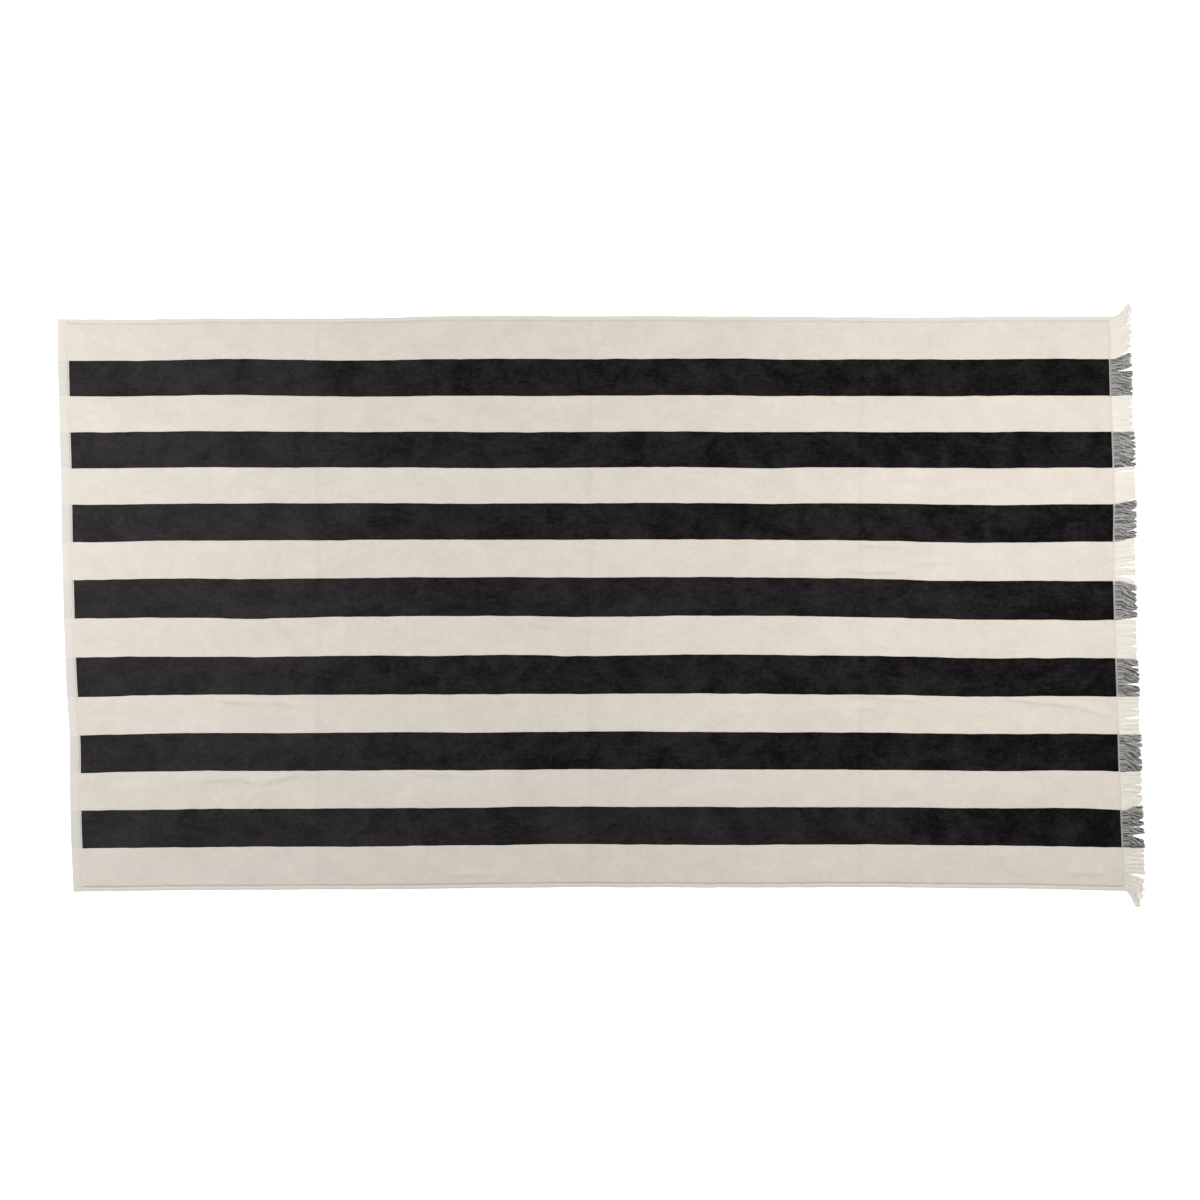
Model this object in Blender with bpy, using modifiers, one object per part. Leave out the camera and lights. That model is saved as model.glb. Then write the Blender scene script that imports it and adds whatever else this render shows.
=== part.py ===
"""A striped towelling mat: woven ground, cut pile above, terry loops below, hems, seams and fringe.

Sizes are in metres.  The mat is spread out flat: +X runs to the fringed end, +Y to the far side
and +Z up.  The origin is the middle of the cloth, on the surface that it lies on.  A place on the
cloth is first given as (u, v), along and across the cloth as it was cut, and lay() turns it into
the place where a hand-spread cloth has it.
"""
import math

import bmesh
import bpy

# The cloth, and the stripes across it
CLOTH_LENGTH = 1.654           # fold of the end hem to the root of the fringe
CLOTH_WIDTH = 0.900            # fold of one side hem to the fold of the other
BORDER_WIDTH = 0.067           # cream stripe along each side, its hem included
BLACK_STRIPES = 7

# Layers, from the floor up
TERRY_HEIGHT = 0.0015
GROUND_THICKNESS = 0.0008
VELOUR_HEIGHT = 0.0012
GAP = 0.0003                   # clearance between pieces that touch on the real cloth

# Hems and bare strips
END_HEM_WIDTH = 0.0155
SIDE_HEM_WIDTH = 0.0070
HEM_PLY = 0.0005
HEM_TO_PILE = 0.0020           # bare ground between a hem's inner edge and the pile
FRINGE_STRIP = 0.0040          # bare, tightly woven ground at the root of the fringe

# Seams
THREAD_DIAMETER = 0.0004
END_SEAM_INSET = 0.0130        # fold to seam
SIDE_SEAM_INSET = 0.0055

# Fringe
FRINGE_LENGTH = 0.032          # root to the tips of the longest tassels
FRINGE_THICKNESS = 0.0020
FRINGE_HEADING = 0.0070        # loose parallel yarns between the root and the tassels
TASSEL_PITCH = 0.0066
SLIT_AT_HEADING = 0.0007
SLIT_AT_TIPS = 0.0020
RAGGED_TIPS = 0.0022           # how much shorter the shortest tassel is
FAR_FAN_WIDTH = 0.038          # tassels at the far corner fan out over this width
FAR_FAN_ANGLE = math.radians(48)
NEAR_TUFT_WIDTH = 0.025        # those at the near corner lie apart, as one tuft
NEAR_TUFT_INNER_ANGLE = math.radians(-26)
NEAR_TUFT_OUTER_ANGLE = math.radians(-59)
NEAR_TUFT_EXTRA = 0.004        # its tassels are free nearly to the root, so they reach further

# How the cloth lies
END_SLANT = 0.0118             # both ends run to +X by this much at the near side
END_CURVE = 0.0039
ARCH = 0.0047                  # the sides fall back by this much at both ends
DRIFT = 0.0100                 # the stripes have crept this far across the cloth
DRIFT_CENTRE = 0.085
DRIFT_REACH = 0.320

# Fineness of the solids
LAY_STEPS = 12
FOLD_STEPS = 4

# Heights worked out from the layers
GROUND_BOTTOM = TERRY_HEIGHT + GAP
GROUND_TOP = GROUND_BOTTOM + GROUND_THICKNESS
GROUND_MIDDLE = (GROUND_BOTTOM + GROUND_TOP) / 2
VELOUR_BOTTOM = GROUND_TOP + GAP
FOLD_RADIUS = GROUND_THICKNESS / 2 + GAP + HEM_PLY / 2
THREAD_LIFT = FOLD_RADIUS + HEM_PLY / 2 + GAP + THREAD_DIAMETER / 2

# Places worked out from the cloth, in u and v
HEMMED_END = -CLOTH_LENGTH / 2
FRINGED_END = CLOTH_LENGTH / 2
FAR_SIDE = CLOTH_WIDTH / 2
FOLD_CENTRE = FOLD_RADIUS + HEM_PLY / 2
PILE_START = HEMMED_END + END_HEM_WIDTH + HEM_TO_PILE
PILE_END = FRINGED_END - FRINGE_STRIP
PILE_SIDE = FAR_SIDE - SIDE_HEM_WIDTH - HEM_TO_PILE

# Yarn colours, linear
YARNS = {
    "cream": (0.720, 0.665, 0.590),
    "black": (0.014, 0.013, 0.014),
    "grey": (0.262, 0.258, 0.246),
    "hem": (0.760, 0.715, 0.645),
    "thread": (0.640, 0.600, 0.530),
}


def clear_scene():
    for item in list(bpy.data.objects):
        bpy.data.objects.remove(item, do_unlink=True)


def yarn_material(name, yarn):
    """A dull cotton of one colour, for one piece."""
    material = bpy.data.materials.new(name + "_cotton")
    material.use_nodes = True
    shader = material.node_tree.nodes["Principled BSDF"]
    shader.inputs["Base Color"].default_value = (*YARNS[yarn], 1.0)
    shader.inputs["Roughness"].default_value = 0.95
    shader.inputs["Metallic"].default_value = 0.0
    return material


def add_piece(name, data, yarn, height=0.0):
    """Put a mesh or curve in the mat's collection at a height, with a material of its own."""
    data.materials.append(yarn_material(name, yarn))
    piece = bpy.data.objects.new(name, data)
    piece.location.z = height
    piece.parent = mat_origin
    mat_pieces.objects.link(piece)
    return piece


def lay(u, v):
    """Where the point (u, v) of the cloth lies: slanting ends, arched sides, drifting stripes."""
    along = 2 * u / CLOTH_LENGTH
    across = 2 * v / CLOTH_WIDTH
    off_centre = min(abs(v - DRIFT_CENTRE) / DRIFT_REACH, 1.0)
    drift = DRIFT * math.cos(off_centre * math.pi / 2) ** 2
    x = u - END_SLANT * across + END_CURVE * across ** 2
    y = v - ARCH * along ** 2 + drift
    return x, y


def stripes():
    """Colour, number, near edge and far edge of each stripe, from the far side to the near one."""
    count = 2 * BLACK_STRIPES + 1
    inner_width = (CLOTH_WIDTH - 2 * BORDER_WIDTH) / (count - 2)
    far = FAR_SIDE
    for index in range(count):
        outermost = index in (0, count - 1)
        near = far - (BORDER_WIDTH if outermost else inner_width)
        yield ("cream", "black")[index % 2], index // 2 + 1, near, far
        far = near


def thin_solid(name, yarn, thickness, steps, place):
    """A sheet of even thickness: place(s, t) puts each point of a grid, s and t from 0 to 1."""
    form = bmesh.new()
    bmesh.ops.create_grid(form, x_segments=steps[0], y_segments=steps[1], size=1)
    for vert in form.verts:
        vert.co = place((vert.co.x + 1) / 2, (vert.co.y + 1) / 2)
    mesh = bpy.data.meshes.new(name)
    form.to_mesh(mesh)
    form.free()
    piece = add_piece(name, mesh, yarn)
    solid = piece.modifiers.new("Thickness", "SOLIDIFY")
    solid.thickness = thickness
    solid.offset = 0
    solid.use_even_offset = True
    return piece


def flat_layer(name, yarn, u_range, v_range, z_range, across_steps=1):
    """A level layer of cloth or pile over a rectangle of the cut cloth."""
    def place(s, t):
        u = u_range[0] + s * (u_range[1] - u_range[0])
        v = v_range[0] + t * (v_range[1] - v_range[0])
        return *lay(u, v), sum(z_range) / 2

    thin_solid(name, yarn, z_range[1] - z_range[0], (LAY_STEPS, across_steps), place)


def add_ground():
    """The woven ground that every other piece is worked into or sewn to."""
    flat_layer("ground_cloth", "cream", (HEMMED_END + FOLD_CENTRE, FRINGED_END),
               (FOLD_CENTRE - FAR_SIDE, FAR_SIDE - FOLD_CENTRE), (GROUND_BOTTOM, GROUND_TOP), LAY_STEPS)


def add_pile():
    """Cut pile on top of the ground and uncut loops under it, stripe by stripe."""
    for colour, number, near, far in stripes():
        v_range = (max(near + GAP / 2, -PILE_SIDE), min(far - GAP / 2, PILE_SIDE))
        flat_layer(f"velour_{colour}_{number}", colour, (PILE_START, PILE_END), v_range,
                   (VELOUR_BOTTOM, VELOUR_BOTTOM + VELOUR_HEIGHT))
        flat_layer(f"terry_{colour}_{number}", colour, (PILE_START, PILE_END), v_range,
                   (0.0, TERRY_HEIGHT))


def hem_section(t, width):
    """Middle line of a turned edge, t from 0 to 1: how far in from the fold, and how high."""
    corners = FOLD_STEPS + 2
    corner = round(t * corners)
    if corner in (0, corners):
        return width, GROUND_MIDDLE + (FOLD_RADIUS if corner == 0 else -FOLD_RADIUS)
    turn = math.pi * (0.5 + (corner - 1) / FOLD_STEPS)
    return FOLD_CENTRE + FOLD_RADIUS * math.cos(turn), GROUND_MIDDLE + FOLD_RADIUS * math.sin(turn)


def add_end_hem():
    """The hem across the end that has no fringe, turned under the ground's edge."""
    def place(s, t):
        inward, height = hem_section(t, END_HEM_WIDTH)
        return *lay(HEMMED_END + inward, (2 * s - 1) * FAR_SIDE), height

    thin_solid("end_hem", "hem", HEM_PLY, (LAY_STEPS, FOLD_STEPS + 2), place)


def add_side_hem(name, side):
    """One long hem, from the end hem to the fringe; side is +1 for the far one."""
    start = HEMMED_END + END_HEM_WIDTH + GAP

    def place(s, t):
        inward, height = hem_section(t, SIDE_HEM_WIDTH)
        return *lay(start + s * (FRINGED_END - start), side * (FAR_SIDE - inward)), height

    thin_solid(name, "hem", HEM_PLY, (LAY_STEPS, FOLD_STEPS + 2), place)


def thread(name, height, start, end):
    """A sewing thread from one place on the cloth to another, at a height."""
    curve = bpy.data.curves.new(name, "CURVE")
    curve.dimensions = "3D"
    curve.bevel_depth = THREAD_DIAMETER / 2
    curve.bevel_resolution = 2
    curve.use_fill_caps = True
    spline = curve.splines.new("POLY")
    spline.points.add(LAY_STEPS)
    for index, point in enumerate(spline.points):
        share = index / LAY_STEPS
        u = start[0] + share * (end[0] - start[0])
        v = start[1] + share * (end[1] - start[1])
        point.co = (*lay(u, v), 0.0, 1.0)
    add_piece(name, curve, "thread", height)


def add_seams():
    """Needle thread on top of each hem, bobbin thread under it, and the lock at the fringe."""
    end_u = HEMMED_END + END_SEAM_INSET
    side_v = FAR_SIDE - SIDE_SEAM_INSET
    side_start = HEMMED_END + END_HEM_WIDTH + GAP
    seams = {
        "end_hem": ((end_u, -side_v), (end_u, side_v)),
        "side_hem_far": ((side_start, side_v), (FRINGED_END, side_v)),
        "side_hem_near": ((side_start, -side_v), (FRINGED_END, -side_v)),
    }
    for hem, (start, end) in seams.items():
        thread(hem + "_needle_thread", GROUND_MIDDLE + THREAD_LIFT, start, end)
        thread(hem + "_bobbin_thread", GROUND_MIDDLE - THREAD_LIFT, start, end)
    lock_u = FRINGED_END - FRINGE_STRIP / 2
    thread("fringe_lock_thread", GROUND_TOP + GAP + THREAD_DIAMETER / 2,
           (lock_u, -PILE_SIDE), (lock_u, PILE_SIDE))


def splay(v):
    """Which way the tassel at v points, from +X towards +Y: only those at the corners turn."""
    from_far = (FAR_SIDE - v) / FAR_FAN_WIDTH
    from_near = (FAR_SIDE + v) / NEAR_TUFT_WIDTH
    if from_far < 1:
        return FAR_FAN_ANGLE * (1 - from_far)
    if from_near < 1:
        return NEAR_TUFT_OUTER_ANGLE + (NEAR_TUFT_INNER_ANGLE - NEAR_TUFT_OUTER_ANGLE) * from_near
    return 0.0


def tassel_outline(v, pitch, shortening):
    """Five points round one tapered tassel, from its near root to its far root."""
    angle = splay(v)
    root_u = FRINGED_END + FRINGE_HEADING
    reach = FRINGE_LENGTH - FRINGE_HEADING - shortening
    if angle < 0:
        reach += NEAR_TUFT_EXTRA
    root_half = (pitch - SLIT_AT_HEADING) / 2
    tip_half = (pitch - SLIT_AT_TIPS) / 2
    outline = [(root_u, v - root_half)]
    for along, aside in ((reach - tip_half, -tip_half), (reach, 0), (reach - tip_half, tip_half)):
        outline.append((root_u + along * math.cos(angle) - aside * math.sin(angle),
                        v + along * math.sin(angle) + aside * math.cos(angle)))
    outline.append((root_u, v + root_half))
    return outline


def add_fringe_group(name, yarn, near, far):
    """The fringe of one stripe: a heading strip that divides into tassels."""
    near += GAP / 2
    far -= GAP / 2
    count = round((far - near) / TASSEL_PITCH)
    pitch = (far - near) / count
    outline = [(FRINGED_END + GAP, near), (FRINGED_END + FRINGE_HEADING, near)]
    for index in range(count):
        shortening = RAGGED_TIPS * (0.5 + 0.5 * math.sin(2.4 * index + 40 * near))
        outline += tassel_outline(near + (index + 0.5) * pitch, pitch, shortening)
    outline += [(FRINGED_END + FRINGE_HEADING, far), (FRINGED_END + GAP, far)]

    curve = bpy.data.curves.new(name, "CURVE")
    curve.dimensions = "2D"
    curve.fill_mode = "BOTH"
    curve.extrude = FRINGE_THICKNESS / 2
    spline = curve.splines.new("POLY")
    spline.points.add(len(outline) - 1)
    spline.use_cyclic_u = True
    for point, place in zip(spline.points, outline):
        point.co = (*lay(*place), 0.0, 1.0)
    add_piece(name, curve, yarn, GROUND_MIDDLE)


def add_fringe():
    """Warp ends left free: all cream beside a cream stripe, mixed with black beside a black one."""
    for colour, number, near, far in stripes():
        yarn = "cream" if colour == "cream" else "grey"
        add_fringe_group(f"fringe_{yarn}_{number}", yarn, near, far)


clear_scene()
mat_pieces = bpy.data.collections.new("bath_mat")
bpy.context.scene.collection.children.link(mat_pieces)
mat_origin = bpy.data.objects.new("mat_origin", None)
mat_pieces.objects.link(mat_origin)
add_ground()
add_pile()
add_end_hem()
add_side_hem("side_hem_far", 1)
add_side_hem("side_hem_near", -1)
add_seams()
add_fringe()
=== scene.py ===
"""How the striped towelling mat looks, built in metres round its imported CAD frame.

Every piece takes its place from the CAD node that it stands for: long pieces are lofted between
that node's own edges, and a settled height field lifts all the layers of the cloth together.
"""
import math

import bpy
import numpy as np
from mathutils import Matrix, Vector


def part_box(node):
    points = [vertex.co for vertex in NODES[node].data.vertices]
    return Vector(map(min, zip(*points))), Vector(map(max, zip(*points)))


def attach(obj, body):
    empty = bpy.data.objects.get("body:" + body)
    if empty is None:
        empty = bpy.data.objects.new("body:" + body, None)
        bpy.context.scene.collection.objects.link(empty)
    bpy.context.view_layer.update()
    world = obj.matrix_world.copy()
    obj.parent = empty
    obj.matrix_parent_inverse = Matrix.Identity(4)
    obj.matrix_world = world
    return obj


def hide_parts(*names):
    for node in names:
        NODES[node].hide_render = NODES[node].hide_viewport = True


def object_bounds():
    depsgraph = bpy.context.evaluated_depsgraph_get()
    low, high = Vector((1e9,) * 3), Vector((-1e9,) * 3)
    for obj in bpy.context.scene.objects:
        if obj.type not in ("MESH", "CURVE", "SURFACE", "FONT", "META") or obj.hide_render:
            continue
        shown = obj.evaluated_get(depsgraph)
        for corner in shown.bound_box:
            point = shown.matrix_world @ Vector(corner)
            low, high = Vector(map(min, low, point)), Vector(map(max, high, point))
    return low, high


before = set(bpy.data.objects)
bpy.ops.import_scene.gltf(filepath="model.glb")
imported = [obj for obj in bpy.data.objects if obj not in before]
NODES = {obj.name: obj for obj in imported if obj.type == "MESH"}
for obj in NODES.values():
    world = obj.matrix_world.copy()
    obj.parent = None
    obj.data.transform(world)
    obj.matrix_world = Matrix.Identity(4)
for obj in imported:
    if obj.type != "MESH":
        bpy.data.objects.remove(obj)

CAD_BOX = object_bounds()
MAT_LENGTH = CAD_BOX[1][0] - CAD_BOX[0][0]
STRIPES = sorted((name[len("velour_"):] for name in NODES if name.startswith("velour_")),
                 key=lambda stripe: -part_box("velour_" + stripe)[1][1])
STATION_GAP = 0.03             # a CAD piece's cross rows lie further apart than this, a row's points nearer
PLAN_REACH = 1.1               # noise and heights are made for -PLAN_REACH to PLAN_REACH

# Layers of the cloth, from the CAD's flat solids
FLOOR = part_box("terry_" + STRIPES[0])[0][2]
GROUND_LOW, GROUND_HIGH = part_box("ground_cloth")[0][2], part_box("ground_cloth")[1][2]
GROUND_MIDDLE = (GROUND_LOW + GROUND_HIGH) / 2
PILE_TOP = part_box("velour_" + STRIPES[0])[1][2]
HEM_LOW, HEM_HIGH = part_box("end_hem")[0][2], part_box("end_hem")[1][2]

# Pile and loops
PILE_ROOT = 0.00005            # the pile starts this far above the ground, the loops this far below
PILE_STEP = (0.0035, 0.0021)   # spacing of a pile surface's points, along and across
LOOP_STEP = (0.005, 0.0042)
GROUND_STEP = 0.006
EDGE_SPACING = (0.0, 0.0002, 0.0006, 0.0012, 0.0022)  # of the points next to an edge
UNDERSIDE_POINTS = 7           # across the hidden side of a stripe's pile
STRIPE_LEAN = 0.00012          # pile leans over the narrow gap between stripes by this much
HEM_REACH = 0.0023             # cream pile leans this far, to the hem beside it
BLACK_SETBACK = 0.0009         # black pile starts this much further from the end hem
LEAN_FADE = 0.006              # that lean or setback fades out over this length
START_ROUND = (0.0020, 0.0005)  # how far in a stripe's edge is rounded, and how far it drops
END_ROUND = (0.0022, 0.0007)
SIDE_ROUND = (0.00045, 0.00045)
LEAST_PILE = 0.2               # share of the pile's height that is left at its rounded corners
SHEEN_REACH = {"black_4": 0.45, "black_7": 0.8}  # stripes whose painted sheen reaches further to the right
YARN_EDGE = 0.0006             # the weave turns from cream to black over this width
TINT_START = 0.03              # the ground is striped from this far inside its fringed end
TINT_FADE = 0.004              # and its stripes come up over this length

# Hems and seams: each hem, the axis it runs along (0 is X, 1 is Y), and which side its fold is on
HEMS = (("end_hem", 1, "low"), ("side_hem_far", 0, "high"), ("side_hem_near", 0, "low"))
HEM_PLY = 0.00052
HEM_RUN_STEP = 0.0010          # spacing of a hem's cross rows
HEM_POINT_STEP = 0.0008        # and of the points on its flats
HEM_TURN_POINTS = 9
HEM_PUFF = 0.00022             # the hem stands this proud between its fold and its seam
HEM_UNDER = 0.6                # its underside swells by this share of that
SEAM_GROOVE = {"end_hem": 0.00010, "side_hem_far": 0.00010, "side_hem_near": 0.00024}
SEAM_GROOVE_WIDTH = 0.0008
STITCH_PINCH = 0.28            # share of the groove's depth that comes and goes with the stitches
STITCH_LENGTH = 0.0031
STITCH_GAP = 0.0005
STITCH_SLANT = 0.00012
STITCH_CROWN = 0.00016         # a stitch's middle rises this far
STITCH_DIVE = 0.00022          # and its ends go this far into the cloth
STITCH_POINTS = 6
NEEDLE_SUNK, BOBBIN_SUNK = 0.6, 0.4  # shares of the groove's depth at which the threads lie
THREAD_RADIUS = 0.00021
THREAD_SIDES = 6

# Soft random layers, each with its strength, the size of its cells, its seed and its stretch along X
RIPPLES = ((0.0009, 0.16, 11, 1.5), (0.0004, 0.06, 12, 1.8))
RIPPLE_LEVEL = 0.0012          # the ripples' middle height
WANDER_ALONG = ((0.0006, 0.12, 21, 1.0), (0.00025, 0.03, 22, 1.0))
WANDER_ACROSS = ((0.0006, 0.10, 23, 1.2), (0.0004, 0.07, 26, 1.0), (0.00035, 0.028, 24, 1.0),
                 (0.00028, 0.010, 25, 1.0))
PILE_ROUGH = ((0.00010, 0.011, 31, 2.2), (0.00006, 0.005, 32, 1.0))
LOOPS_ROUGH = ((0.00012, 0.009, 71, 1.0), (0.00010, 0.005, 72, 1.0))
HEM_ROUGH = ((0.00008, 0.009, 91, 1.0), (0.00005, 0.004, 92, 1.0))
CREAM_NAP = ((0.22, 0.09, 46, 1.5), (0.16, 0.025, 47, 1.8))
BLACK_NAP = ((0.07, 0.10, 42, 1.6), (0.06, 0.028, 43, 1.6))
CREAM_SHADE_LINE, BLACK_SHADE_LINE = 0.0026, 0.004  # how wide a wrinkle's line of painted shade is on the pile

# Where the cloth was pulled as it was laid: centre, reach, and how far towards the fringe and
# towards the far side
PULLS = (((0.78, 0.33), 0.20, (0.0, 0.0040)), ((0.60, 0.04), 0.14, (0.0, -0.0040)),
         ((0.45, -0.42), 0.26, (0.0, 0.0030)), ((0.00, -0.20), 0.16, (0.0, 0.0020)),
         ((-0.05, 0.24), 0.14, (0.0, -0.0030)), ((-0.62, -0.18), 0.12, (0.0, 0.0030)),
         ((-0.80, 0.32), 0.10, (0.0, 0.0020)), ((-0.42, 0.47), 0.16, (0.0, -0.0034)),
         ((0.52, 0.47), 0.16, (0.0, -0.0030)), ((-0.71, 0.47), 0.09, (0.0, -0.0036)),
         ((0.84, 0.19), 0.075, (0.0034, 0.0)), ((-0.83, -0.215), 0.06, (0.0031, 0.0)),
         ((-0.535, -0.045), 0.07, (0.0, -0.0032)), ((-0.01, -0.09), 0.06, (0.0, -0.0026)),
         ((0.25, 0.22), 0.07, (0.0, -0.0026)), ((0.78, -0.27), 0.07, (0.0, 0.0032)),
         ((0.78, 0.00), 0.045, (0.0, -0.0030)), ((-0.30, -0.21), 0.06, (0.0, 0.0022)),
         ((-0.57, 0.335), 0.08, (0.0, 0.0022)))

# The shop folded it across the middle and at both quarters
FOLD_LINES = tuple(share * MAT_LENGTH for share in (-0.25, 0.0, 0.25))
FOLD_HEIGHT = 0.0011
FOLD_WIDTH = 0.006
CRUSH_AND_SHADE_WIDTH = 0.004          # the pile is pressed flat, and shade painted, this far to both sides of a fold

# Small slack wrinkles: one end, the other end, how far the line sags between them, how marked it is
WRINKLES = (
    ((0.385, 0.053), (0.500, 0.052), -0.0070, 1.0), ((0.410, 0.088), (0.505, 0.085), 0.0, 0.8),
    ((0.500, 0.058), (0.595, 0.064), 0.0, 0.7), ((0.610, 0.050), (0.650, 0.049), 0.0, 0.4),
    ((0.440, -0.068), (0.480, -0.077), 0.0, 0.4), ((-0.585, -0.160), (-0.515, -0.164), 0.0, 0.9),
    ((-0.525, -0.162), (-0.440, -0.168), 0.0015, 0.6), ((-0.620, -0.288), (-0.545, -0.283), 0.0015, 0.7),
    ((-0.550, -0.280), (-0.520, -0.291), 0.0, 0.9), ((-0.525, -0.291), (-0.450, -0.274), 0.0, 0.8),
    ((-0.235, -0.435), (-0.140, -0.429), 0.0, 0.6), ((-0.280, -0.272), (-0.190, -0.278), 0.0, 0.5),
    ((-0.397, -0.171), (-0.375, -0.198), 0.0, 0.4), ((0.390, -0.153), (0.470, -0.154), 0.0025, 0.9),
    ((0.450, -0.156), (0.535, -0.159), 0.0, 0.6), ((0.413, -0.173), (0.453, -0.171), 0.0, 0.7),
    ((0.625, -0.149), (0.780, -0.168), -0.0025, 1.0), ((0.762, -0.167), (0.824, -0.187), 0.0, 0.8),
    ((-0.486, 0.082), (-0.502, 0.039), 0.0, 0.7), ((-0.369, 0.093), (-0.397, 0.044), 0.0, 0.6),
    ((-0.400, 0.168), (-0.370, 0.166), 0.0, 0.7), ((-0.380, -0.032), (-0.381, -0.069), 0.0, 0.6),
    ((-0.100, -0.036), (-0.060, -0.041), 0.0, 0.8), ((-0.317, -0.043), (-0.298, -0.043), 0.0, 0.6),
    ((-0.365, 0.124), (-0.247, 0.143), 0.0, 0.7), ((0.740, -0.432), (0.820, -0.429), 0.0, 0.5),
)
WRINKLE_HEIGHT = 0.0016
WRINKLE_WIDTH = 0.0055
WRINKLE_SET = 0.004            # a wrinkle's ridge runs this far to the far side of its shaded line
WRINKLE_FADE = 0.3             # share of its length over which a wrinkle comes up and dies away

# Fringe
TASSEL_PITCH = 0.0066
HEADING = 0.0070
FRINGE_LENGTH = 0.0335
ROOT_REACH = 0.001             # a CAD tassel's points that lie nearer to the cloth than this are its root
YARN_TUCK = 0.0015             # yarns start this far inside the end of the ground cloth
YARNS = 24                     # in a tassel
YARN_RADIUS = 0.00042
YARN_POINTS = 19
YARN_SIDES = 5
YARN_STRAY = (0.00012, 0.0003)  # a yarn strays this far at the root, and this much more at its tip
YARN_LAYER = 0.00032           # side by side, the yarns lie this far above and below their middle
GOLDEN_ANGLE = 2.39996         # it spreads the yarns evenly over a tassel's cross section
YARN_TWIST = 0.036             # a tassel's yarns turn once round it in this length
PLIES = 3                      # a grey tassel has this many black plies, with grey ones between
BLACK_SHARE = 0.43             # how much of a grey tassel's yarn is black
STRAY_SHARE = 0.4              # and how much of the yarn has left its ply for another
CREAM_TRIM = 0.0015            # cream tassels are this much shorter
TRIM_SPREAD = 0.0015           # and each tassel is shorter by up to this
# What differs between tassels or their yarns: the lowest and the highest
YARN_TRIM = (-0.0026, 0.0022)
TASSEL_SWAY = (-0.06, 0.06)    # radians at its tip
TASSEL_CURL = (-0.30, 0.30)
TASSEL_WAVE = (0.05, 0.16)
TASSEL_WAVELENGTH = 0.0035     # for one radian of the wave
TASSEL_HALF_WIDTH = (0.53, 0.61)  # shares of the tassels' pitch
TASSEL_HALF_HEIGHT = (0.0009, 0.0012)
TWIST_VARIES = (0.7, 1.6)
LANE_VARIES = (-0.00010, 0.00010)
YARN_WAVELENGTH = (0.006, 0.014)
YARN_THICKNESS = (0.85, 1.15)
YARN_TAPER = 0.35              # a yarn has lost this share of its radius at its tip
# Where along a yarn a change starts, in metres from the cloth, and the length that it takes
FAN_OUT = (0.0, 0.03)
LOOSEN = (0.0, 0.009)
CROWN_UP = (0.003, 0.007)
GATHER = (0.0055, 0.006)
DROOP = (0.001, 0.011)
# The corners: yarns before and past these shares of the end lie flat and untwisted, and the
# outermost ones at the far and the near corner are this much longer
FAN_END, TUFT_START = 0.040, 0.972
CORNER_EXTRA = (0.0085, 0.0050)
CORNER_FREE = 0.9
FAN_RANGE = (0.85, 2.2)        # a tassel widens to its tip by no less and no more than this
# How the tassels lie: share of the end from its far corner, and the angle (degrees, towards the
# far side) of the tassels just before and just after it. A jump down opens a gap between them.
COMBING = ((0.000, 50, 50), (0.015, 36, 36), (0.031, 20, 20), (0.046, 12, 12), (0.055, 9, 9),
           (0.070, 30, 34), (0.083, 30, 30), (0.093, 20, 3), (0.108, 8, 8), (0.134, 4, 4),
           (0.200, 0, 0), (0.262, 7, 7), (0.272, 11, 0), (0.309, 3, 3), (0.323, 16, 16),
           (0.344, 8, 8), (0.390, 12, 12), (0.414, 3, 3), (0.433, 8, -2), (0.447, 3, -9),
           (0.463, -15, -15), (0.493, -4, -4), (0.523, 0, 0), (0.598, -6, -6), (0.643, 4, -5),
           (0.658, 0, 0), (0.700, 4, -3), (0.747, -2, -2), (0.768, -8, -8), (0.789, 5, 5),
           (0.835, 0, 0), (0.854, 18, 18), (0.864, 22, 22), (0.892, 10, -2), (0.908, 12, -9),
           (0.927, -2, -2), (TUFT_START, 0, -16), (1.000, -56, -56))

# The map for baked textures, in shares of a strip's cell
STRIP_CORNER, STRIP_SIZE = (0.01, 0.10), (0.96, 0.88)
CAP_MIDDLES, CAP_RADII = ((0.03, 0.05), (0.07, 0.05)), (0.01, 0.03)

# Materials
WAVE_SCALE = 0.31416           # a wave texture of this scale has one band a metre

# Picture
PICTURE_WIDTH = 1.886          # seen across the picture, at the floor
SENSOR_WIDTH = 36
CAMERA_HEIGHT = 5.2
CAMERA_OFFSET = (-0.0026, 0.0104)  # from the middle of the CAD's box
SKY_STRENGTH = 0.285
FLOOR_WIDTH = 60
FLOOR_DROP = 0.0002            # the floor lies this far under the loops


# -------------------------------------------------- plan and heights

def bspline_weights(part):
    return ((1 - part) ** 3 / 6, (3 * part ** 3 - 6 * part ** 2 + 4) / 6,
            (-3 * part ** 3 + 3 * part ** 2 + 3 * part + 1) / 6, part ** 3 / 6)


def read_grid(grid, col, row):
    """A cubic B-spline surface over a grid of values, at fractional columns and rows."""
    first_col, first_row = np.floor(col).astype(int), np.floor(row).astype(int)
    total = 0.0
    for over, col_weight in enumerate(bspline_weights(col - first_col), start=-1):
        for up, row_weight in enumerate(bspline_weights(row - first_row), start=-1):
            near_col = np.clip(first_col + over, 0, grid.shape[0] - 1)
            near_row = np.clip(first_row + up, 0, grid.shape[1] - 1)
            total = total + col_weight * row_weight * grid[near_col, near_row]
    return total


def noise(x, y, cell, seed, stretch=1.0):
    """Soft random values, mostly -1 to 1, that change over a cell; stretch lengthens it along X."""
    cols = int(2 * PLAN_REACH / (cell * stretch)) + 4
    rows = int(2 * PLAN_REACH / cell) + 4
    grid = np.random.default_rng(seed).uniform(-2, 2, (cols, rows))
    return read_grid(grid, (x + PLAN_REACH) / (cell * stretch) + 1, (y + PLAN_REACH) / cell + 1)


def layered(x, y, layers, level=0.0):
    """A level, with soft random layers on it."""
    for strength, cell, seed, stretch in layers:
        level = level + strength * noise(x, y, cell, seed, stretch)
    return level


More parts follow.
